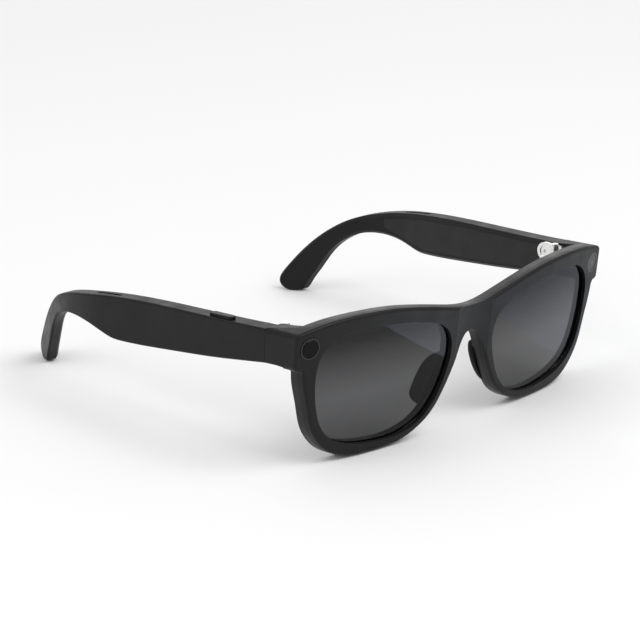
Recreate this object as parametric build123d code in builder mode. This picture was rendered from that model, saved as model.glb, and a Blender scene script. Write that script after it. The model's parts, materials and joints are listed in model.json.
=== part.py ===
"""Camera smart glasses: a two-shell front, two folding temples full of electronics, real hinges.

Millimetres. The glasses stand on the rims and the temple tips. +X is across the face towards the
wearer's left, +Y runs back along the temples, +Z is up. The origin is under the middle of the box.
"""
from build123d import *
from math import asin, cos, radians, sin
import os

# Driving dimensions -------------------------------------------------------------------------
FRONT_Y = -71.7          # where the front datum line lies
FRONT_LIFT = 0.6         # and how far it is above the floor, because the bottoms fall backwards
FACE_TILT = 4.67         # the front leans forward at the top, degrees
FACE_RADIUS = 345.0      # the front is bent to this radius, seen from above
TOP_SLOPE = 4.0          # tops and bottoms of the front fall this many degrees towards the back
END_X = 74.3             # outer side of the end pieces
FRONT_SHELL = 2.8        # thickness of the front shell
RIM_DEPTH = 5.5          # front shell and rear shell together
LENS_SET_BACK = 1.3      # lens behind the face
LENS_THICKNESS = 1.9
LENS_LIP = 0.8           # how far the lens edge goes into its groove
GROOVE_PLAY = 0.05
RIM_ROUND = 1.0          # round along the outer edge of the face
BRIDGE_SCOOP = 1.3       # hollow of the bridge at its middle
BRIDGE_HALF = 8.5

SEAM = 18.5              # end piece ends here, behind the datum
SEAM_GAP = 0.1
END_INNER_X = 67.4       # inner side of the end pieces at the seam
END_BOTTOM = 33.6

BOW_START = 92.0         # the temples run straight to here and then bend inwards
OUTER_BOW_X = 78.4
INNER_BOW_X = 72.1
OUTER_BEND = (71.7, 124.8)   # the bend ends here and the tip runs straight on
INNER_BEND = (64.9, 128.1)
OUTER_TIP_RUN = 26.0
INNER_TIP_RUN = 22.5
SHELL_WALL = 1.25
COVER_THICKNESS = 1.2
COVER_LEDGE = 0.9
COVER_PLAY = 0.05
INNER_BEVEL = 0.9        # bevel around the inner side of a temple
EDGE_ROUND = 0.7         # round around the outer side of a temple
LONG_EDGE = 60.0         # edges longer than this run along a temple

PIN_X = 65.8
PIN_S = 17.8             # behind the datum
PIN_RADIUS = 0.7
KNUCKLE_RADIUS = 1.4
KNUCKLE_HEIGHT = 1.5
KNUCKLE_COUNT = 5
KNUCKLE_BASE = 36.7
KNUCKLE_PLAY = 0.05

EYE_U = 69.3             # camera and light windows, across and up the face
EYE_V = 39.9
EYE_RADIUS = 3.5

BUTTON_S = 39.3
BUTTON_LENGTH = 10.6
BUTTON_WIDTH = 2.9
BUTTON_PROUD = 0.75
BUTTON_TRAVEL = 0.5
VENT_S = 91.0
VENT_LENGTH = 12.0
VENT_WIDTH = 1.3

# Datum planes -------------------------------------------------------------------------------
tilt = radians(FACE_TILT)
slope = radians(TOP_SLOPE)
datum = Vector(0, FRONT_Y, FRONT_LIFT)
up_face = Vector(0, -sin(tilt), cos(tilt))
back_face = Vector(0, cos(tilt), sin(tilt))
sweep_back = Vector(0, cos(slope), -sin(slope))
RUN_IN = 8.0             # outlines are drawn this far ahead of the datum and swept back
face_plane = Plane(origin=datum, x_dir=(1, 0, 0), z_dir=-back_face)
plan_plane = Plane(origin=datum - up_face * 5, x_dir=(1, 0, 0), z_dir=up_face)
outline_plane = Plane(origin=datum - sweep_back * RUN_IN, x_dir=(1, 0, 0), z_dir=(0, -1, 0))
side_plane = Plane(origin=datum, x_dir=(0, 1, 0), z_dir=(1, 0, 0))
floor_plane = Plane(origin=datum, x_dir=(1, 0, 0), z_dir=(0, 0, 1))
PLAN_HEIGHT = 70.0       # tall enough for anything cut from above


def face_frame(across, up, depth=0.0):
    """A plane square to the bent face, its z pointing out of the face."""
    angle = asin(across / FACE_RADIUS)
    outward = Vector(1, 0, 0) * sin(angle) - back_face * cos(angle)
    surface = Vector(1, 0, 0) * across + back_face * FACE_RADIUS * (1 - cos(angle)) + up_face * up
    return Plane(origin=datum + surface - outward * depth, x_dir=up_face.cross(outward), z_dir=outward)


def bent_layer(near, far):
    """Plan section of a layer of the bent front, between two depths behind the face."""
    with BuildSketch(plan_plane) as band:
        with Locations((0, FACE_RADIUS)):
            Circle(FACE_RADIUS - near)
            Circle(FACE_RADIUS - far, mode=Mode.SUBTRACT)
        Rectangle(2 * END_X + 10, 40, align=(Align.CENTER, Align.MIN), mode=Mode.INTERSECT)
    return band.sketch


def side_shape(points, start):
    """A straight-sided profile seen from the side, on a plane at x = start."""
    with BuildSketch(side_plane.offset(start)) as profile:
        with BuildLine():
            Polyline(*points, close=True)
        make_face()
    return profile.sketch


os.makedirs("parts", exist_ok=True)

# Outlines of the front ----------------------------------------------------------------------
STEP_ROUND = 1.8         # round under the end piece
top_end = Vector(72.9, 45.9)
top_fall = Vector(1, -0.2).normalized()
corner_radius = (END_X - top_end.X) / (1 + top_fall.Y)
corner_end = (END_X, top_end.Y - top_fall.X * corner_radius)

with BuildSketch(outline_plane) as rim_outline:
    with BuildLine():
        brow = Spline((0, 41.3), (12, 43.0), (25, 45.7), (36, 47.4), (48, 48.1), (60, 47.9),
                      top_end, tangents=[(1, 0), top_fall])
        corner = TangentArc(brow @ 1, corner_end, tangent=top_fall)
        side = Line(corner @ 1, (END_X, END_BOTTOM + STEP_ROUND))
        step = TangentArc(side @ 1, (END_X - STEP_ROUND, END_BOTTOM), tangent=(0, -1))
        notch = TangentArc(step @ 1, (70.8, 32.0), tangent=(-1, 0))
        rim = Spline(notch @ 1, (68.4, 21.2), (66.3, 13.3), (62.7, 7.3), (57.7, 3.0), (51.6, 0.7),
                     (44.8, 0), (36, 0.1), (28.2, 1.1), (21.9, 3.7), (16.4, 7.6), (12.2, 13.2),
                     (9.1, 19.0), (7.0, 23.8), (5.2, 28.3), (3.1, 31.3), (0, 32.4),
                     tangents=[notch % 1, (-1, 0)])
        mirror(about=Plane.YZ)
    make_face()


OPENING = [(38, 2.6), (50, 3.9), (57.6, 6.8), (62.6, 11.8), (65.4, 20), (66.3, 28), (65.2, 35.5),
           (60.3, 40.9), (52, 42.9), (40, 42.8), (28, 41.4), (18, 39.0), (12.1, 35.0), (10.1, 29),
           (11.4, 21.5), (15.2, 13.0), (21.7, 6.3), (29.5, 3.3)]
OPENING_MIDDLE = (38.5, 22.8)
OPENING_HALF = (27.5, 20.1)


def lens_opening(grow=0.0):
    """The left lens opening, or an outline that much larger all round."""
    stretch_x = 1 + grow / OPENING_HALF[0]
    stretch_z = 1 + grow / OPENING_HALF[1]
    points = [(OPENING_MIDDLE[0] + (x - OPENING_MIDDLE[0]) * stretch_x,
               OPENING_MIDDLE[1] + (z - OPENING_MIDDLE[1]) * stretch_z) for x, z in OPENING]
    with BuildSketch(face_plane) as outline:
        with BuildLine():
            Spline(*points, periodic=True)
        make_face()
    return outline.sketch


def lens_column(grow, near, far):
    """Everything inside the left outline between two depths behind the face."""
    with BuildPart() as column:
        extrude(lens_opening(grow), amount=30, both=True)
        extrude(bent_layer(near, far), amount=PLAN_HEIGHT, mode=Mode.INTERSECT)
    return column.part


END_BLOCK_SIDE = [(-1, END_BOTTOM + 0.1), (14, END_BOTTOM), (SEAM, END_BOTTOM - 0.5), (SEAM, 44.5),
                  (5, 46.6), (-1, 50)]

# End piece, part of the front shell ------------------------------------------------------------
with BuildPart() as end_block:
    extrude(rim_outline.sketch, amount=45, dir=sweep_back)
    extrude(side_shape(END_BLOCK_SIDE, 60), amount=20, mode=Mode.INTERSECT)
    with BuildSketch(plan_plane):
        with BuildLine():
            Polyline((66.8, 0), (66.8, 12), (END_INNER_X, 16), (END_INNER_X, 30), (80, 30), (80, 0),
                     close=True)
        make_face()
        with Locations((0, FACE_RADIUS)):
            Circle(FACE_RADIUS, mode=Mode.INTERSECT)
    extrude(amount=PLAN_HEIGHT, mode=Mode.INTERSECT)

# Hinge stack, shared by the pieces around it -------------------------------------------------
pin_plane = floor_plane.offset(KNUCKLE_BASE)
LEAF_FACE_X = 66.7       # hinge leaves stand a little proud of the inner walls
LEAF_BACK_X = 68.0
leaf_thickness = LEAF_BACK_X - LEAF_FACE_X


def knuckles(first, reach):
    """Every second knuckle from first, each with a web that runs to s = PIN_S + reach."""
    with BuildPart() as barrels:
        for index in range(first, KNUCKLE_COUNT, 2):
            bottom = index * KNUCKLE_HEIGHT + KNUCKLE_PLAY / 2
            height = KNUCKLE_HEIGHT - KNUCKLE_PLAY
            with BuildSketch(pin_plane.offset(bottom)):
                with Locations((PIN_X, PIN_S)):
                    Circle(KNUCKLE_RADIUS)
                with Locations((PIN_X + KNUCKLE_RADIUS / 2, PIN_S + reach / 2)):
                    Rectangle(KNUCKLE_RADIUS, abs(reach))
                with Locations((PIN_X, PIN_S)):
                    Circle(PIN_RADIUS + 0.03, mode=Mode.SUBTRACT)
            extrude(amount=height)
    return barrels.part


def disc(radius, s, z, near_x, far_x):
    """A round piece across the temple, between two x positions."""
    with BuildPart() as round_piece:
        with BuildSketch(side_plane.offset(near_x)):
            with Locations((s, z)):
                Circle(radius)
        extrude(amount=far_x - near_x)
    return round_piece.part


def slab(points, near_x, far_x):
    """A straight-sided piece between two x positions."""
    with BuildPart() as plate:
        extrude(side_shape(points, near_x), amount=far_x - near_x)
    return plate.part


# Hinge pieces -------------------------------------------------------------------------------
HINGE_Z = KNUCKLE_BASE + KNUCKLE_COUNT * KNUCKLE_HEIGHT / 2
LEAF_HALF = 3.3
LEAF_SCREW_S = 13.4
LEAF_SCREW_RADIUS = 1.5
ROUND_SCREW_S = 23.0
ROUND_SCREW_RADIUS = 2.1
LEAF_END_S = PIN_S + 1.6
front_leaf_shape = [(11.0, HINGE_Z - LEAF_HALF), (PIN_S - 1.6, HINGE_Z - LEAF_HALF),
                    (PIN_S - 1.6, HINGE_Z + LEAF_HALF), (11.0, HINGE_Z + LEAF_HALF)]

with BuildPart() as front_leaf:
    add(slab(front_leaf_shape, LEAF_FACE_X, LEAF_BACK_X))
    add(knuckles(0, -2.8))
    add(disc(LEAF_SCREW_RADIUS + 0.03, LEAF_SCREW_S, HINGE_Z, LEAF_FACE_X - 1, LEAF_BACK_X + 1),
        mode=Mode.SUBTRACT)

with BuildPart() as front_leaf_screw:
    add(disc(LEAF_SCREW_RADIUS, LEAF_SCREW_S, HINGE_Z, LEAF_FACE_X - 0.15, LEAF_BACK_X))
    with BuildSketch(side_plane.offset(LEAF_FACE_X - 0.15)):
        with Locations((LEAF_SCREW_S, HINGE_Z)):
            Rectangle(0.45, 1.8)
    extrude(amount=0.5, mode=Mode.SUBTRACT)

with BuildPart() as temple_leaf:
    with BuildSketch(side_plane.offset(LEAF_FACE_X)):
        with Locations(((LEAF_END_S + ROUND_SCREW_S) / 2, HINGE_Z)):
            Rectangle(ROUND_SCREW_S - LEAF_END_S, 2 * LEAF_HALF)
        with Locations((ROUND_SCREW_S, HINGE_Z)):
            Circle(LEAF_HALF)
            Circle(ROUND_SCREW_RADIUS + 0.03, mode=Mode.SUBTRACT)
    extrude(amount=leaf_thickness)
    add(knuckles(1, 2.8))

with BuildPart() as round_screw:
    add(disc(ROUND_SCREW_RADIUS, ROUND_SCREW_S, HINGE_Z, LEAF_FACE_X + 0.35, LEAF_BACK_X))
    with BuildSketch(side_plane.offset(LEAF_FACE_X + 0.35)):
        with Locations((ROUND_SCREW_S, HINGE_Z)):
            RegularPolygon(0.8, 6)
    extrude(amount=0.5, mode=Mode.SUBTRACT)

with BuildPart() as hinge_pin:
    with BuildSketch(pin_plane.offset(-0.2)):
        with Locations((PIN_X, PIN_S)):
            Circle(PIN_RADIUS)
    extrude(amount=KNUCKLE_COUNT * KNUCKLE_HEIGHT + 0.4)
    with BuildSketch(pin_plane.offset(KNUCKLE_COUNT * KNUCKLE_HEIGHT + 0.05)):
        with Locations((PIN_X, PIN_S)):
            Circle(1.15)
    extrude(amount=0.4)

# Front shell --------------------------------------------------------------------------------
GROOVE_BACK = LENS_SET_BACK + LENS_THICKNESS + GROOVE_PLAY
END_POCKET = [(6.2, 36.4), (SEAM + 1, 36.4), (SEAM + 1, 42.4), (6.2, 42.4)]
END_POCKET_X = (69.0, 72.9)


def eye_bore(radius, near, far):
    """A round hole square to the face at the camera or light window, on the left."""
    with BuildPart() as bore:
        with BuildSketch(face_frame(EYE_U, EYE_V, far)):
            Circle(radius)
        extrude(amount=far - near)
    return bore.part


with BuildPart() as bridge_scoop:
    scoop_radius = (BRIDGE_HALF ** 2 + BRIDGE_SCOOP ** 2) / (2 * BRIDGE_SCOOP)
    with BuildSketch(plan_plane):
        with Locations((0, BRIDGE_SCOOP - scoop_radius)):
            Circle(scoop_radius)
        with Locations((0, -2)):
            Rectangle(60, 20, mode=Mode.INTERSECT)
    extrude(amount=PLAN_HEIGHT)

opening_cut = lens_column(0, -3, RIM_DEPTH + 3)
groove_cut = lens_column(LENS_LIP + GROOVE_PLAY, LENS_SET_BACK, GROOVE_BACK)
lens = lens_column(LENS_LIP, LENS_SET_BACK, LENS_SET_BACK + LENS_THICKNESS)

with BuildPart() as brow_flex:
    with BuildSketch(face_plane):
        with BuildLine():
            low = Spline((-63, 42.9), (-40, 44.8), (-12, 39.9), (0, 38.6), (12, 39.9), (40, 44.8),
                         (63, 42.9))
            Line(low @ 1, (63, 44.1))
            high = Spline((63, 44.1), (40, 46.0), (12, 41.1), (0, 39.8), (-12, 41.1), (-40, 46.0),
                          (-63, 44.1))
            Line(high @ 1, low @ 0)
        make_face()
    extrude(amount=30, both=True)
    extrude(bent_layer(FRONT_SHELL - 0.25, FRONT_SHELL), amount=PLAN_HEIGHT, mode=Mode.INTERSECT)

front_cuts = [
    opening_cut,
    groove_cut,
    eye_bore(EYE_RADIUS + 0.05, -2.0, 1.55),
    eye_bore(2.75, -2.0, 2.79),
    slab(END_POCKET, END_POCKET_X[0], END_POCKET_X[1]),
    slab(front_leaf_shape, LEAF_FACE_X - 1, LEAF_BACK_X),
]

with BuildPart() as front_frame:
    extrude(rim_outline.sketch, amount=30, dir=sweep_back)
    extrude(bent_layer(0, FRONT_SHELL), amount=PLAN_HEIGHT, mode=Mode.INTERSECT)
    add(end_block.part)
    mirror(end_block.part, about=Plane.YZ)
    face_edges = [edge for edge in front_frame.faces().filter_by(GeomType.CYLINDER)
                  .sort_by(Axis.Y)[0].outer_wire().edges()]
    fillet(face_edges, radius=RIM_ROUND)
    add(bridge_scoop.part, mode=Mode.SUBTRACT)
    for cut in front_cuts:
        add(cut, mode=Mode.SUBTRACT)
        mirror(cut, about=Plane.YZ, mode=Mode.SUBTRACT)
    add(brow_flex.part, mode=Mode.SUBTRACT)

# Rear shell ---------------------------------------------------------------------------------
with BuildPart() as rear_frame:
    extrude(rim_outline.sketch, amount=30, dir=sweep_back)
    extrude(bent_layer(FRONT_SHELL, RIM_DEPTH), amount=PLAN_HEIGHT, mode=Mode.INTERSECT)
    add(end_block.part, mode=Mode.SUBTRACT)
    mirror(end_block.part, about=Plane.YZ, mode=Mode.SUBTRACT)
    for cut in (opening_cut, groove_cut):
        add(cut, mode=Mode.SUBTRACT)
        mirror(cut, about=Plane.YZ, mode=Mode.SUBTRACT)

# Lenses and nose pads -----------------------------------------------------------------------
PAD_SECTIONS = [          # depth, centre across, centre up, half width, half height
    (RIM_DEPTH - 0.4, 11.9, 17.0, 2.5, 9.5),
    (RIM_DEPTH + 2.6, 12.8, 16.6, 2.3, 9.0),
    (RIM_DEPTH + 5.0, 14.4, 16.0, 1.2, 6.0),
]
PAD_LEAN = 29.0
with BuildPart() as nose_pad:
    for depth, across, up, half_width, half_height in PAD_SECTIONS:
        with BuildSketch(face_plane.offset(-depth)):
            with Locations((across, up)):
                Ellipse(half_width, half_height, rotation=PAD_LEAN)
    loft()
    add(rear_frame.part, mode=Mode.SUBTRACT)

# Camera and light in the end pieces ---------------------------------------------------------
with BuildPart() as camera_ring:
    with BuildSketch(face_frame(EYE_U, EYE_V, 1.5)):
        Circle(EYE_RADIUS)
        Circle(EYE_RADIUS - 0.45, mode=Mode.SUBTRACT)
    extrude(amount=1.7)

with BuildPart() as camera_window:
    with BuildSketch(face_frame(EYE_U, EYE_V, 1.2)):
        Circle(EYE_RADIUS - 0.5)
    extrude(amount=1.6)
    chamfer(camera_window.edges().filter_by(GeomType.CIRCLE).sort_by(Axis.Y)[0], length=0.3)

with BuildPart() as camera_module:
    with BuildSketch(face_frame(EYE_U, EYE_V, 2.75)):
        Circle(2.2)
    extrude(amount=1.5)
    add(slab([(6.3, 37), (12, 37), (12, 41.9), (6.3, 41.9)], END_POCKET_X[0] + 0.3, END_POCKET_X[1] - 0.3))

with BuildPart() as light_ring:
    with BuildSketch(face_frame(EYE_U, EYE_V, 1.5)):
        Circle(EYE_RADIUS)
        Circle(EYE_RADIUS - 0.6, mode=Mode.SUBTRACT)
    extrude(amount=1.5)

with BuildPart() as light_window:
    with BuildSketch(face_frame(EYE_U, EYE_V, 1.2)):
        Circle(EYE_RADIUS - 0.65)
    extrude(amount=1.1)

with BuildPart() as light_board:
    with BuildSketch(face_frame(EYE_U, EYE_V, 2.5)):
        Circle(2.6)
    extrude(amount=0.6)
    with BuildSketch(face_frame(EYE_U, EYE_V, 1.9)):
        Rectangle(1.4, 1.4)
    extrude(amount=0.5)

# Temples ------------------------------------------------------------------------------------
TEMPLE_START = SEAM + SEAM_GAP


def bow_band(outer_inset, inner_inset):
    """Plan section of a temple, inset from its outer and inner sides."""
    outer_run = Vector(OUTER_BOW_X - END_X, BOW_START - TEMPLE_START).normalized()
    inner_run = Vector(INNER_BOW_X - END_INNER_X, BOW_START - TEMPLE_START).normalized()
    with BuildSketch(floor_plane.offset(-5)) as band:
        with BuildLine():
            outer = Line((END_X - outer_inset, TEMPLE_START), (OUTER_BOW_X - outer_inset, BOW_START))
            outer_bow = TangentArc(outer @ 1, (OUTER_BEND[0] - outer_inset, OUTER_BEND[1]),
                                   tangent=outer_run)
            outer_tip = Line(outer_bow @ 1, outer_bow @ 1 + (outer_bow % 1) * OUTER_TIP_RUN)
            inner = Line((END_INNER_X + inner_inset, TEMPLE_START), (INNER_BOW_X + inner_inset, BOW_START))
            inner_bow = TangentArc(inner @ 1, (INNER_BEND[0] + inner_inset, INNER_BEND[1]),
                                   tangent=inner_run)
            inner_tip = Line(inner_bow @ 1, inner_bow @ 1 + (inner_bow % 1) * INNER_TIP_RUN)
            Line(outer_tip @ 1, inner_tip @ 1)
            Line(outer @ 0, inner @ 0)
        make_face()
    return band.sketch


with BuildSketch(side_plane.offset(40)) as temple_side:
    with BuildLine():
        top_line = Spline((TEMPLE_START, 44.3), (52, 42.0), (86, 39.2), (106, 35.6), (121.4, 30.2),
                          (132, 22.4), (138.7, 15), (143.1, 9), (145.6, 4.6),
                          tangents=[(1, -0.09), (0.3, -1)])
        tip_line = Spline(top_line @ 1, (145.3, 1.4), (142.2, -0.5), (138.6, 0.1),
                          (136.2, 2.4), tangents=[(0.3, -1), (-0.45, 1)])
        hook_line = Spline(tip_line @ 1, (132.5, 9), (127.6, 17.2), (122.6, 22.3), (115.0, 26.2),
                           (105.5, 27.5), (97.0, 26.6), (90.5, 25.0), (84.0, 24.4),
                           tangents=[(-0.45, 1), (-1, 0.06)])
        under_line = Spline(hook_line @ 1, (60.0, 26.9), (40.0, 29.5), (TEMPLE_START, 33.0),
                            tangents=[(-1, 0.06), (-1, 0.16)])
        Line(under_line @ 1, top_line @ 0)
    make_face()

def is_long(edge):
    return edge.length > LONG_EDGE


with BuildPart() as temple_blank:
    extrude(temple_side.sketch, amount=50)
    extrude(bow_band(0, 0), amount=PLAN_HEIGHT, mode=Mode.INTERSECT)
    # The sides meet their edges smoothly, so a bevel or round runs on around the whole temple
    inner_edge = temple_blank.edges().filter_by(is_long).sort_by(Axis.X)[0]
    chamfer(inner_edge, length=INNER_BEVEL)
    outer_edge = temple_blank.edges().filter_by(is_long).sort_by(Axis.X)[-1]
    fillet(outer_edge, radius=EDGE_ROUND)

CAVITY = [(20.5, 34.9), (50, 30.6), (84, 27.0), (92, 28.2), (104, 31.2), (104, 33.0), (86, 36.4),
          (60, 38.9), (20.5, 41.2)]


def in_bow(points, outer_inset, inner_inset):
    """A piece with a straight-sided profile that follows the bow of the temple."""
    with BuildPart() as piece:
        extrude(side_shape(points, 40), amount=50)
        extrude(bow_band(outer_inset, inner_inset), amount=PLAN_HEIGHT, mode=Mode.INTERSECT)
    return piece.part


def in_run(points, outer_inset, inner_inset):
    """The same for a piece that lies in the straight stretch ahead of the bow."""
    with BuildPart() as piece:
        extrude(side_shape(points, 40), amount=50)
        with BuildSketch(floor_plane.offset(-5)):
            with BuildLine():
                Polyline((END_X - outer_inset, TEMPLE_START), (OUTER_BOW_X - outer_inset, BOW_START),
                         (INNER_BOW_X + inner_inset, BOW_START),
                         (END_INNER_X + inner_inset, TEMPLE_START), close=True)
            make_face()
        extrude(amount=PLAN_HEIGHT, mode=Mode.INTERSECT)
    return piece.part


def cover_solid(ledge, thickness):
    """The plate that closes the temple from inside, or its recess when enlarged."""
    with BuildPart() as plate:
        with BuildSketch(side_plane.offset(40)):
            with BuildLine():
                Polyline(*CAVITY, close=True)
            make_face()
            offset(amount=ledge, kind=Kind.INTERSECTION)
        extrude(amount=50)
        extrude(bow_band(0, 0), amount=PLAN_HEIGHT, mode=Mode.INTERSECT)
        extrude(bow_band(-5, thickness), amount=PLAN_HEIGHT, mode=Mode.SUBTRACT)
    return plate.part


leaf_recess_shape = [(LEAF_END_S - 0.05, HINGE_Z - LEAF_HALF - 0.05),
                     (ROUND_SCREW_S, HINGE_Z - LEAF_HALF - 0.05),
                     (ROUND_SCREW_S, HINGE_Z + LEAF_HALF + 0.05),
                     (LEAF_END_S - 0.05, HINGE_Z + LEAF_HALF + 0.05)]
leaf_recess = slab(leaf_recess_shape, LEAF_FACE_X - 1, LEAF_BACK_X)
leaf_recess_round = disc(LEAF_HALF + 0.05, ROUND_SCREW_S, HINGE_Z, LEAF_FACE_X - 1, LEAF_BACK_X)

# Sound vent in the top of each temple
VENT_X = 75.4
vent_half = VENT_LENGTH / 2
vent_slot_shape = [(VENT_S - vent_half, 33.5), (VENT_S + vent_half, 33.5), (VENT_S + vent_half, 42),
                   (VENT_S - vent_half, 42)]
vent_insert_shape = [(VENT_S - vent_half + 0.05, 37.2), (VENT_S + vent_half - 0.05, 35.2),
                     (VENT_S + vent_half - 0.05, 37.2), (VENT_S - vent_half + 0.05, 38.8)]

# Button on top of the right temple, drawn here on the left and mirrored with it
BUTTON_X = 72.8
BUTTON_Z = 42.95
BUTTON_FALL = radians(4.3)
button_normal = Vector(0, sin(BUTTON_FALL), cos(BUTTON_FALL))
button_along = Vector(0, cos(BUTTON_FALL), -sin(BUTTON_FALL))
button_plane = Plane(origin=datum + Vector(BUTTON_X, BUTTON_S, BUTTON_Z), x_dir=button_along,
                     z_dir=button_normal)
BUTTON_DEPTH = 1.9


def button_pill(grow, low, high):
    """The pill outline of the button, between two heights over the temple's top."""
    with BuildPart() as pill:
        with BuildSketch(button_plane.offset(low)):
            SlotOverall(BUTTON_LENGTH + 2 * grow, BUTTON_WIDTH + 2 * grow)
        extrude(amount=high - low)
    return pill.part


with BuildPart() as capture_button:
    add(button_pill(0, -BUTTON_DEPTH, BUTTON_PROUD))
    fillet(capture_button.faces().sort_by(Axis.Z)[-1].edges(), radius=0.35)

with BuildPart() as tact_switch:
    with BuildSketch(button_plane.offset(-3.6)):
        Rectangle(3.2, 2.4)
    extrude(amount=0.7)
    with BuildSketch(button_plane.offset(-2.9)):
        Circle(0.8)
    extrude(amount=0.4)

# Charging contacts on the inside of the right temple
CONTACT_S = 37.0
CONTACT_Z = 36.2
contact_shape = [(CONTACT_S - 4, CONTACT_Z - 1.6), (CONTACT_S + 4, CONTACT_Z - 1.6),
                 (CONTACT_S + 4, CONTACT_Z + 1.6), (CONTACT_S - 4, CONTACT_Z + 1.6)]
CONTACT_FACE_X = 68.1
CONTACT_BACK_X = 69.6
CONTACT_PITCH = 4.4

with BuildPart() as contact_base:
    add(slab(contact_shape, CONTACT_FACE_X, CONTACT_BACK_X))
    for shift in (-CONTACT_PITCH / 2, CONTACT_PITCH / 2):
        add(disc(0.9, CONTACT_S + shift, CONTACT_Z, CONTACT_FACE_X, CONTACT_BACK_X), mode=Mode.SUBTRACT)

with BuildPart() as contact_pins:
    for shift in (-CONTACT_PITCH / 2, CONTACT_PITCH / 2):
        add(disc(0.9, CONTACT_S + shift, CONTACT_Z, CONTACT_FACE_X + 0.1, CONTACT_BACK_X))


def temple_shell(has_button):
    with BuildPart() as shell:
        add(temple_blank.part)
        add(in_bow(CAVITY, SHELL_WALL, COVER_THICKNESS - 0.2), mode=Mode.SUBTRACT)
        add(cover_solid(COVER_LEDGE + COVER_PLAY, COVER_THICKNESS), mode=Mode.SUBTRACT)
        add(leaf_recess, mode=Mode.SUBTRACT)
        add(leaf_recess_round, mode=Mode.SUBTRACT)
        add(slab(vent_slot_shape, VENT_X - VENT_WIDTH / 2, VENT_X + VENT_WIDTH / 2), mode=Mode.SUBTRACT)
        if has_button:
            add(button_pill(0.1, -2.9, 2.0), mode=Mode.SUBTRACT)
    return shell.part


def temple_cover(has_contacts):
    with BuildPart() as cover:
        add(cover_solid(COVER_LEDGE, COVER_THICKNESS))
        add(leaf_recess, mode=Mode.SUBTRACT)
        add(leaf_recess_round, mode=Mode.SUBTRACT)
        if has_contacts:
            add(slab(contact_shape, CONTACT_FACE_X - 2, CONTACT_BACK_X), mode=Mode.SUBTRACT)
    return cover.part


vent_insert = slab(vent_insert_shape, VENT_X - VENT_WIDTH / 2 + 0.05, VENT_X + VENT_WIDTH / 2 - 0.05)
battery = in_run([(54, 32.2), (80, 29.4), (80, 35.6), (54, 38.2)], 1.6, 1.6)
circuit_board = in_run([(27.5, 35.2), (52, 31.6), (52, 38.0), (27.5, 39.7)], 3.0, 2.6)
speaker = in_bow([(86, 29.2), (98, 30.9), (98, 33.2), (86, 35.0)], 1.6, 1.7)
touch_sensor = in_run([(29, 35.6), (51, 32.4), (51, 37.9), (29, 39.5)], SHELL_WALL, 5.0)


def mirrored(piece):
    with BuildPart() as other:
        mirror(piece, about=Plane.YZ)
    return other.part


# Every piece, one file each -----------------------------------------------------------------
pieces = {
    "front_frame": front_frame.part,
    "rear_frame": rear_frame.part,
    "brow_flex": brow_flex.part,
    "camera_ring": mirrored(camera_ring.part),
    "camera_window": mirrored(camera_window.part),
    "camera_module": mirrored(camera_module.part),
    "light_window": light_window.part,
    "light_ring": light_ring.part,
    "light_board": light_board.part,
    "capture_button": mirrored(capture_button.part),
    "tact_switch": mirrored(tact_switch.part),
    "touch_sensor": mirrored(touch_sensor),
    "contact_base": mirrored(contact_base.part),
    "contact_pins": mirrored(contact_pins.part),
    "temple_shell_right": mirrored(temple_shell(True)),
    "temple_shell_left": temple_shell(False),
    "temple_cover_right": mirrored(temple_cover(True)),
    "temple_cover_left": temple_cover(False),
}
paired = {
    "lens": lens,
    "nose_pad": nose_pad.part,
    "front_leaf": front_leaf.part,
    "front_leaf_screw": front_leaf_screw.part,
    "temple_leaf": temple_leaf.part,
    "round_screw": round_screw.part,
    "hinge_pin": hinge_pin.part,
    "vent_insert": vent_insert,
    "battery": battery,
    "circuit_board": circuit_board,
    "speaker": speaker,
}
for name, piece in paired.items():
    pieces[name + "_left"] = piece
    pieces[name + "_right"] = mirrored(piece)
for name, piece in pieces.items():
    piece.label = name
    export_step(piece, "parts/" + name + ".step")
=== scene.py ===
"""Matt black camera smart glasses on a pale floor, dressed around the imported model."""

import json
from math import radians

import bpy
from mathutils import Matrix, Vector


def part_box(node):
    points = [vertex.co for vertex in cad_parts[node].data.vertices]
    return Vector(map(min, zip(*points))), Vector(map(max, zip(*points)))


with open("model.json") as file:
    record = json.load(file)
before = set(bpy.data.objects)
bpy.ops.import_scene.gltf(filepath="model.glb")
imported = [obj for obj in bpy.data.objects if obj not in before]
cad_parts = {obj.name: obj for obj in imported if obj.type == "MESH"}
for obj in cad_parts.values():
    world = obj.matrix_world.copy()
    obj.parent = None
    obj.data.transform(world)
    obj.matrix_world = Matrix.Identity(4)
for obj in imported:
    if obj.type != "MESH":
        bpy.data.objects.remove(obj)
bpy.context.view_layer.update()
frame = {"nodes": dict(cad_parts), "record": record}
nodes = frame["nodes"]
MM = 0.001


# Camera -----------------------------------------------------------------------------------------
CAMERA_AT = Vector((-539.75, -531.49, 269.59)) * MM
CAMERA_TURN = -45.667
CAMERA_HEIGHT_ANGLE = 18.359
CAMERA_ROLL = 1.358
CAMERA_LENS = 128.45
SENSOR_WIDTH = 36.0
CLIP_RANGE = (0.01, 50.0)

camera_data = bpy.data.cameras.new("camera")
camera_data.lens = CAMERA_LENS
camera_data.sensor_width = SENSOR_WIDTH
camera_data.clip_start, camera_data.clip_end = CLIP_RANGE
camera = bpy.data.objects.new("camera", camera_data)
bpy.context.scene.collection.objects.link(camera)
camera.location = CAMERA_AT
turn = (Matrix.Rotation(radians(CAMERA_TURN), 3, "Z")
        @ Matrix.Rotation(radians(90 - CAMERA_HEIGHT_ANGLE), 3, "X")
        @ Matrix.Rotation(radians(CAMERA_ROLL), 3, "Z"))
camera.rotation_euler = turn.to_euler()
bpy.context.scene.camera = camera


# Materials --------------------------------------------------------------------------------------
EDGE_RADIUS = 0.45 * MM
EDGE_DOTS = (0.90, 0.995)   # how far the two normals agree: at an edge, and on a flat


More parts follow.
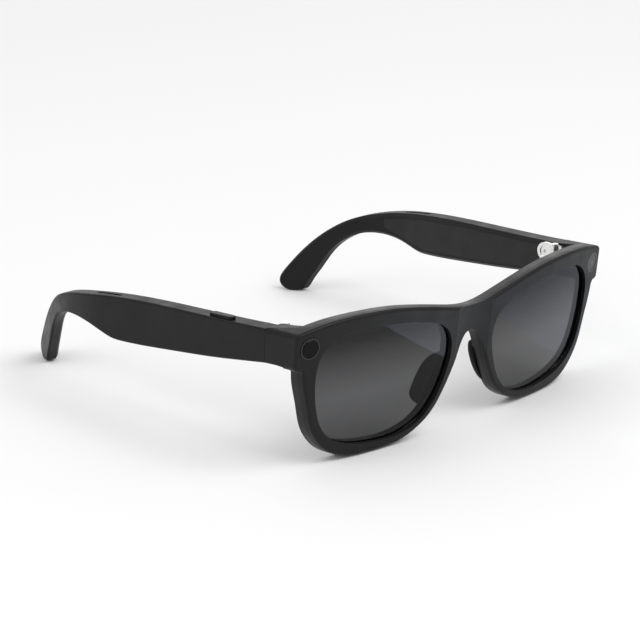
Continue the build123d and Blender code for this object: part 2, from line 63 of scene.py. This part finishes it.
class Finish:
    """A node material being wired up around one Principled shader."""

    def __init__(self, name):
        self.material = bpy.data.materials.new(name)
        self.material.use_nodes = True
        self.tree = self.material.node_tree
        self.shader = self.tree.nodes["Principled BSDF"]
        self.place = self.tree.nodes.new("ShaderNodeTexCoord").outputs["Object"]

    def node(self, kind, **settings):
        made = self.tree.nodes.new(kind)
        for name, value in settings.items():
            setattr(made, name, value)
        return made

    def link(self, source, target):
        self.tree.links.new(source, target)

    def noise(self, scale, detail=3.0):
        made = self.node("ShaderNodeTexNoise")
        made.inputs["Scale"].default_value = scale
        made.inputs["Detail"].default_value = detail
        self.link(self.place, made.inputs["Vector"])
        return made.outputs["Fac"]

    def spread(self, source, low, high, start=0.35, end=0.65):
        made = self.node("ShaderNodeMapRange")
        made.inputs["From Min"].default_value = start
        made.inputs["From Max"].default_value = end
        made.inputs["To Min"].default_value = low
        made.inputs["To Max"].default_value = high
        self.link(source, made.inputs["Value"])
        return made.outputs["Result"]

    def blend(self, factor, first, second):
        made = self.node("ShaderNodeMix", data_type="RGBA")
        made.inputs["A"].default_value = (*first, 1)
        made.inputs["B"].default_value = (*second, 1)
        self.link(factor, made.inputs["Factor"])
        return made.outputs["Result"]

    def bump(self, source, strength, distance, under=None):
        made = self.node("ShaderNodeBump")
        made.inputs["Strength"].default_value = strength
        made.inputs["Distance"].default_value = distance
        self.link(source, made.inputs["Height"])
        if under is not None:
            self.link(under, made.inputs["Normal"])
        return made.outputs["Normal"]

    def edge_mask(self):
        """White along edges, where a rounded normal leaves the true one."""
        rounded = self.node("ShaderNodeBevel", samples=4)
        rounded.inputs["Radius"].default_value = EDGE_RADIUS
        flat = self.node("ShaderNodeNewGeometry")
        dot = self.node("ShaderNodeVectorMath", operation="DOT_PRODUCT")
        self.link(rounded.outputs["Normal"], dot.inputs[0])
        self.link(flat.outputs["Normal"], dot.inputs[1])
        return self.spread(dot.outputs["Value"], 1.0, 0.0, *EDGE_DOTS)

    def set(self, **values):
        for name, value in values.items():
            self.shader.inputs[name.replace("_", " ")].default_value = value


GRAIN = 5200.0
GRAIN_DEPTH = 0.02 * MM
FINER = 2.7
ROUGH_SPREAD = 0.05


def moulded(name, dark, light, rough, grain=GRAIN, grain_depth=GRAIN_DEPTH, wear_and_edge_highlight=None, specular=0.5):
    """Moulded plastic: fine spark grain, cloudy colour, and paler edges, partly rubbed wear and partly
    a painted edge highlight.
    """
    finish = Finish(name)
    cloud = finish.noise(55.0, 4.0)
    colour = finish.blend(finish.spread(cloud, 0, 1), dark, light)
    roughness = finish.spread(finish.noise(160.0, 5.0), rough - ROUGH_SPREAD, rough + ROUGH_SPREAD)
    finish.set(Specular_IOR_Level=specular)
    # Paler broken band along the edges: partly rubbed wear, partly a painted highlight of the rounded
    # edges
    if wear_and_edge_highlight is not None:
        mask = finish.edge_mask()
        rubbed_and_highlit_edges = finish.node("ShaderNodeMath", operation="MULTIPLY")
        finish.link(mask, rubbed_and_highlit_edges.inputs[0])
        finish.link(finish.spread(finish.noise(420.0, 4.0), 0.35, 1.0), rubbed_and_highlit_edges.inputs[1])
        mixed = finish.node("ShaderNodeMix", data_type="RGBA")
        mixed.inputs["B"].default_value = (*wear_and_edge_highlight, 1)
        finish.link(colour, mixed.inputs["A"])
        finish.link(rubbed_and_highlit_edges.outputs["Value"], mixed.inputs["Factor"])
        colour = mixed.outputs["Result"]
    finish.link(colour, finish.shader.inputs["Base Color"])
    finish.link(roughness, finish.shader.inputs["Roughness"])
    coarse = finish.bump(finish.noise(grain, 2.0), 0.35, grain_depth)
    fine = finish.bump(finish.noise(grain * FINER, 1.0), 0.2, grain_depth, coarse)
    finish.link(fine, finish.shader.inputs["Normal"])
    return finish.material


SMEAR = 0.03


def polished(name, colour, rough, specular=0.5):
    """Glossy plastic or coated glass with faint uneven polish."""
    finish = Finish(name)
    tone = finish.blend(finish.spread(finish.noise(90.0), 0, 1), colour, [c * 1.25 for c in colour])
    finish.link(tone, finish.shader.inputs["Base Color"])
    finish.link(finish.spread(finish.noise(300.0, 4.0), rough, rough + SMEAR),
                finish.shader.inputs["Roughness"])
    finish.link(finish.bump(finish.noise(900.0), 0.05, 0.01 * MM), finish.shader.inputs["Normal"])
    finish.set(Specular_IOR_Level=specular)
    return finish.material


BRUSH_SCALE = (400.0, 400.0, 6000.0)
BRUSH_SMEAR = 0.12


def metal(name, colour, rough):
    """Brushed metal: stretched noise for the brush lines, in colour, gloss and height."""
    finish = Finish(name)
    stretch = finish.node("ShaderNodeMapping")
    stretch.inputs["Scale"].default_value = BRUSH_SCALE
    finish.link(finish.place, stretch.inputs["Vector"])
    lines = finish.node("ShaderNodeTexNoise")
    lines.inputs["Scale"].default_value = 1.0
    lines.inputs["Detail"].default_value = 3.0
    finish.link(stretch.outputs["Vector"], lines.inputs["Vector"])
    tone = finish.blend(finish.spread(lines.outputs["Fac"], 0, 1), [c * 0.8 for c in colour], colour)
    finish.link(tone, finish.shader.inputs["Base Color"])
    finish.link(finish.spread(lines.outputs["Fac"], rough, rough + BRUSH_SMEAR),
                finish.shader.inputs["Roughness"])
    finish.link(finish.bump(lines.outputs["Fac"], 0.2, 0.02 * MM), finish.shader.inputs["Normal"])
    finish.set(Metallic=1.0)
    return finish.material


# Real grey lens tint below, with painted shade fading in towards the top of the lens
LENS_SHADE_FADE = (22 * MM, 40 * MM)
LENS_CLEAR = (0.112, 0.113, 0.116)
LENS_TOP_PAINTED_SHADE = (0.016, 0.0162, 0.017)


def tinted_lens():
    """Grey tinted lens: clear, slightly uneven coating, with painted shade making it darker towards
    its top.
    """
    finish = Finish("tinted_lens")
    split = finish.node("ShaderNodeSeparateXYZ")
    finish.link(finish.place, split.inputs["Vector"])
    # Painted shade: the tint darkens with height over the lens
    height = finish.spread(split.outputs["Z"], 0.0, 1.0, *LENS_SHADE_FADE)
    tint_and_painted_shade = finish.blend(height, LENS_CLEAR, LENS_TOP_PAINTED_SHADE)
    finish.link(tint_and_painted_shade, finish.shader.inputs["Base Color"])
    finish.link(finish.spread(finish.noise(200.0), 0.0, 0.012), finish.shader.inputs["Roughness"])
    finish.link(finish.bump(finish.noise(35.0, 2.0), 0.02, 0.2 * MM), finish.shader.inputs["Normal"])
    finish.set(Transmission_Weight=1.0, IOR=1.25)
    return finish.material


SPOT_EDGE = (0.3 * MM, 0.8 * MM)
DIFFUSER_GREY = (0.042, 0.042, 0.043)
SPOT_GREY = (0.36, 0.36, 0.36)


def recording_light():
    """Grey diffuser with the paler spot of the light behind its middle."""
    finish = Finish("light_diffuser")
    low, high = (Vector(corner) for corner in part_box("light_window"))
    from_middle = finish.node("ShaderNodeVectorMath", operation="DISTANCE")
    from_middle.inputs[1].default_value = (low + high) / 2
    finish.link(finish.place, from_middle.inputs[0])
    spot = finish.spread(from_middle.outputs["Value"], 1.0, 0.0, *SPOT_EDGE)
    finish.link(finish.blend(spot, DIFFUSER_GREY, SPOT_GREY), finish.shader.inputs["Base Color"])
    finish.link(finish.spread(finish.noise(300.0, 4.0), 0.32, 0.38), finish.shader.inputs["Roughness"])
    finish.set(Specular_IOR_Level=0.25)
    return finish.material


materials = {
    "matt_shell": moulded("matt_shell", (0.0040, 0.0040, 0.0042), (0.0065, 0.0065, 0.0067), 0.42,
                          wear_and_edge_highlight=(0.014, 0.014, 0.0144), specular=0.22),
    "rear_shell": moulded("rear_shell", (0.0035, 0.0035, 0.0036), (0.0055, 0.0055, 0.0056), 0.34,
                          specular=0.3),
    "inner_cover": moulded("inner_cover", (0.006, 0.006, 0.0062), (0.009, 0.009, 0.0093), 0.5,
                           specular=0.35),
    "nose_pad": moulded("nose_pad", (0.0015, 0.0015, 0.0015), (0.003, 0.003, 0.003), 0.6,
                        grain=2600.0, specular=0.05),
    "module_black": moulded("module_black", (0.010, 0.010, 0.010), (0.016, 0.016, 0.016), 0.5),
    "vent_mesh": moulded("vent_mesh", (0.003, 0.003, 0.003), (0.008, 0.008, 0.008), 0.7, grain=1600.0,
                         grain_depth=0.1 * MM),
    "speaker_body": moulded("speaker_body", (0.03, 0.03, 0.03), (0.04, 0.04, 0.04), 0.5),
    "switch_body": moulded("switch_body", (0.07, 0.07, 0.07), (0.10, 0.10, 0.10), 0.4),
    "flex_film": moulded("flex_film", (0.35, 0.14, 0.02), (0.45, 0.20, 0.04), 0.3),
    "board": moulded("board", (0.01, 0.09, 0.04), (0.02, 0.13, 0.06), 0.35, grain=1200.0),
    "cell_wrap": metal("cell_wrap", (0.55, 0.56, 0.58), 0.3),
    "hinge_steel": metal("hinge_steel", (0.95, 0.95, 0.94), 0.22),
    "gold_contact": metal("gold_contact", (0.85, 0.62, 0.25), 0.15),
    "dark_glass": polished("dark_glass", (0.002, 0.002, 0.0024), 0.06, 0.12),
    "black_ring": polished("black_ring", (0.003, 0.003, 0.003), 0.25),
    "light_diffuser": recording_light(),
    "contact_base": polished("contact_base", (0.01, 0.01, 0.01), 0.2),
    "button": polished("button", (0.003, 0.003, 0.003), 0.35, 0.2),
    "tinted_lens": tinted_lens(),
}
for part in frame["record"]["subparts"]:
    mesh = nodes[part["node"]].data
    mesh.materials.clear()
    mesh.materials.append(materials[part["material_slot"]])


# Floor and light --------------------------------------------------------------------------------
def flat_card(name, corners, height=0.0):
    """A flat polygon: its corners across and along the floor, and its height, in millimetres."""
    mesh = bpy.data.meshes.new(name)
    mesh.from_pydata([(x * MM, y * MM, height * MM) for x, y in corners], [], [range(len(corners))])
    card = bpy.data.objects.new(name, mesh)
    bpy.context.scene.collection.objects.link(card)
    return card


FLOOR = 3000
FLOOR_TONES = ((0.92, 0.92, 0.92), (0.94, 0.94, 0.94))
floor = flat_card("floor", [(-FLOOR, -FLOOR), (FLOOR, -FLOOR), (FLOOR, FLOOR), (-FLOOR, FLOOR)])
floor_finish = Finish("floor")
floor_finish.link(floor_finish.blend(floor_finish.noise(3.0), *FLOOR_TONES),
                  floor_finish.shader.inputs["Base Color"])
floor_finish.set(Roughness=0.9, Specular_IOR_Level=0.1)
floor.data.materials.append(floor_finish.material)


LIT_POINT = Vector((0, 0, 20)) * MM


def panel(name, at, size, power):
    """A soft studio light: its place and size are in metres and its power in watts."""
    data = bpy.data.lights.new(name, "AREA")
    data.shape = "RECTANGLE"
    data.size, data.size_y = size
    data.energy = power
    lamp = bpy.data.objects.new(name, data)
    bpy.context.scene.collection.objects.link(lamp)
    lamp.location = at
    lamp.rotation_euler = (Vector(at) - LIT_POINT).to_track_quat("Z", "Y").to_euler()


panel("key", (0.3, -0.9, 1.3), (1.2, 0.9), 10.0)
panel("side", (-1.2, 0.2, 0.9), (0.9, 0.9), 4.0)
panel("back", (1.0, 1.1, 0.55), (1.2, 0.5), 1.5)


LOW_CARD_HEIGHT = 1.0
BLUE_GREY = (0.84, 0.89, 1.0)


def low_card(name, corners, glow):
    """A glowing card just over the floor that only mirrors see, leaving a sharp wedge in a lens."""
    card = flat_card(name, corners, LOW_CARD_HEIGHT)
    card_finish = Finish(name)
    card_finish.set(Base_Color=(0, 0, 0, 1), Emission_Color=(*BLUE_GREY, 1), Emission_Strength=glow,
                    Specular_IOR_Level=0.0)
    card.data.materials.append(card_finish.material)
    for seen_by in ("camera", "diffuse", "transmission", "shadow"):
        setattr(card, "visible_" + seen_by, False)


low_card("near wedge", ((8, -155), (30, -102), (87, -155)), 2.6)
low_card("far wedge", ((92, -170), (68, -36), (147, -22), (171, -155)), 1.1)

SURROUND_STRENGTH = 0.7
world = bpy.data.worlds.new("studio")
world.use_nodes = True
surround = world.node_tree.nodes["Background"]
surround.inputs["Color"].default_value = (1, 1, 1, 1)
surround.inputs["Strength"].default_value = SURROUND_STRENGTH
bpy.context.scene.world = world
bpy.context.scene.view_settings.view_transform = "Standard"
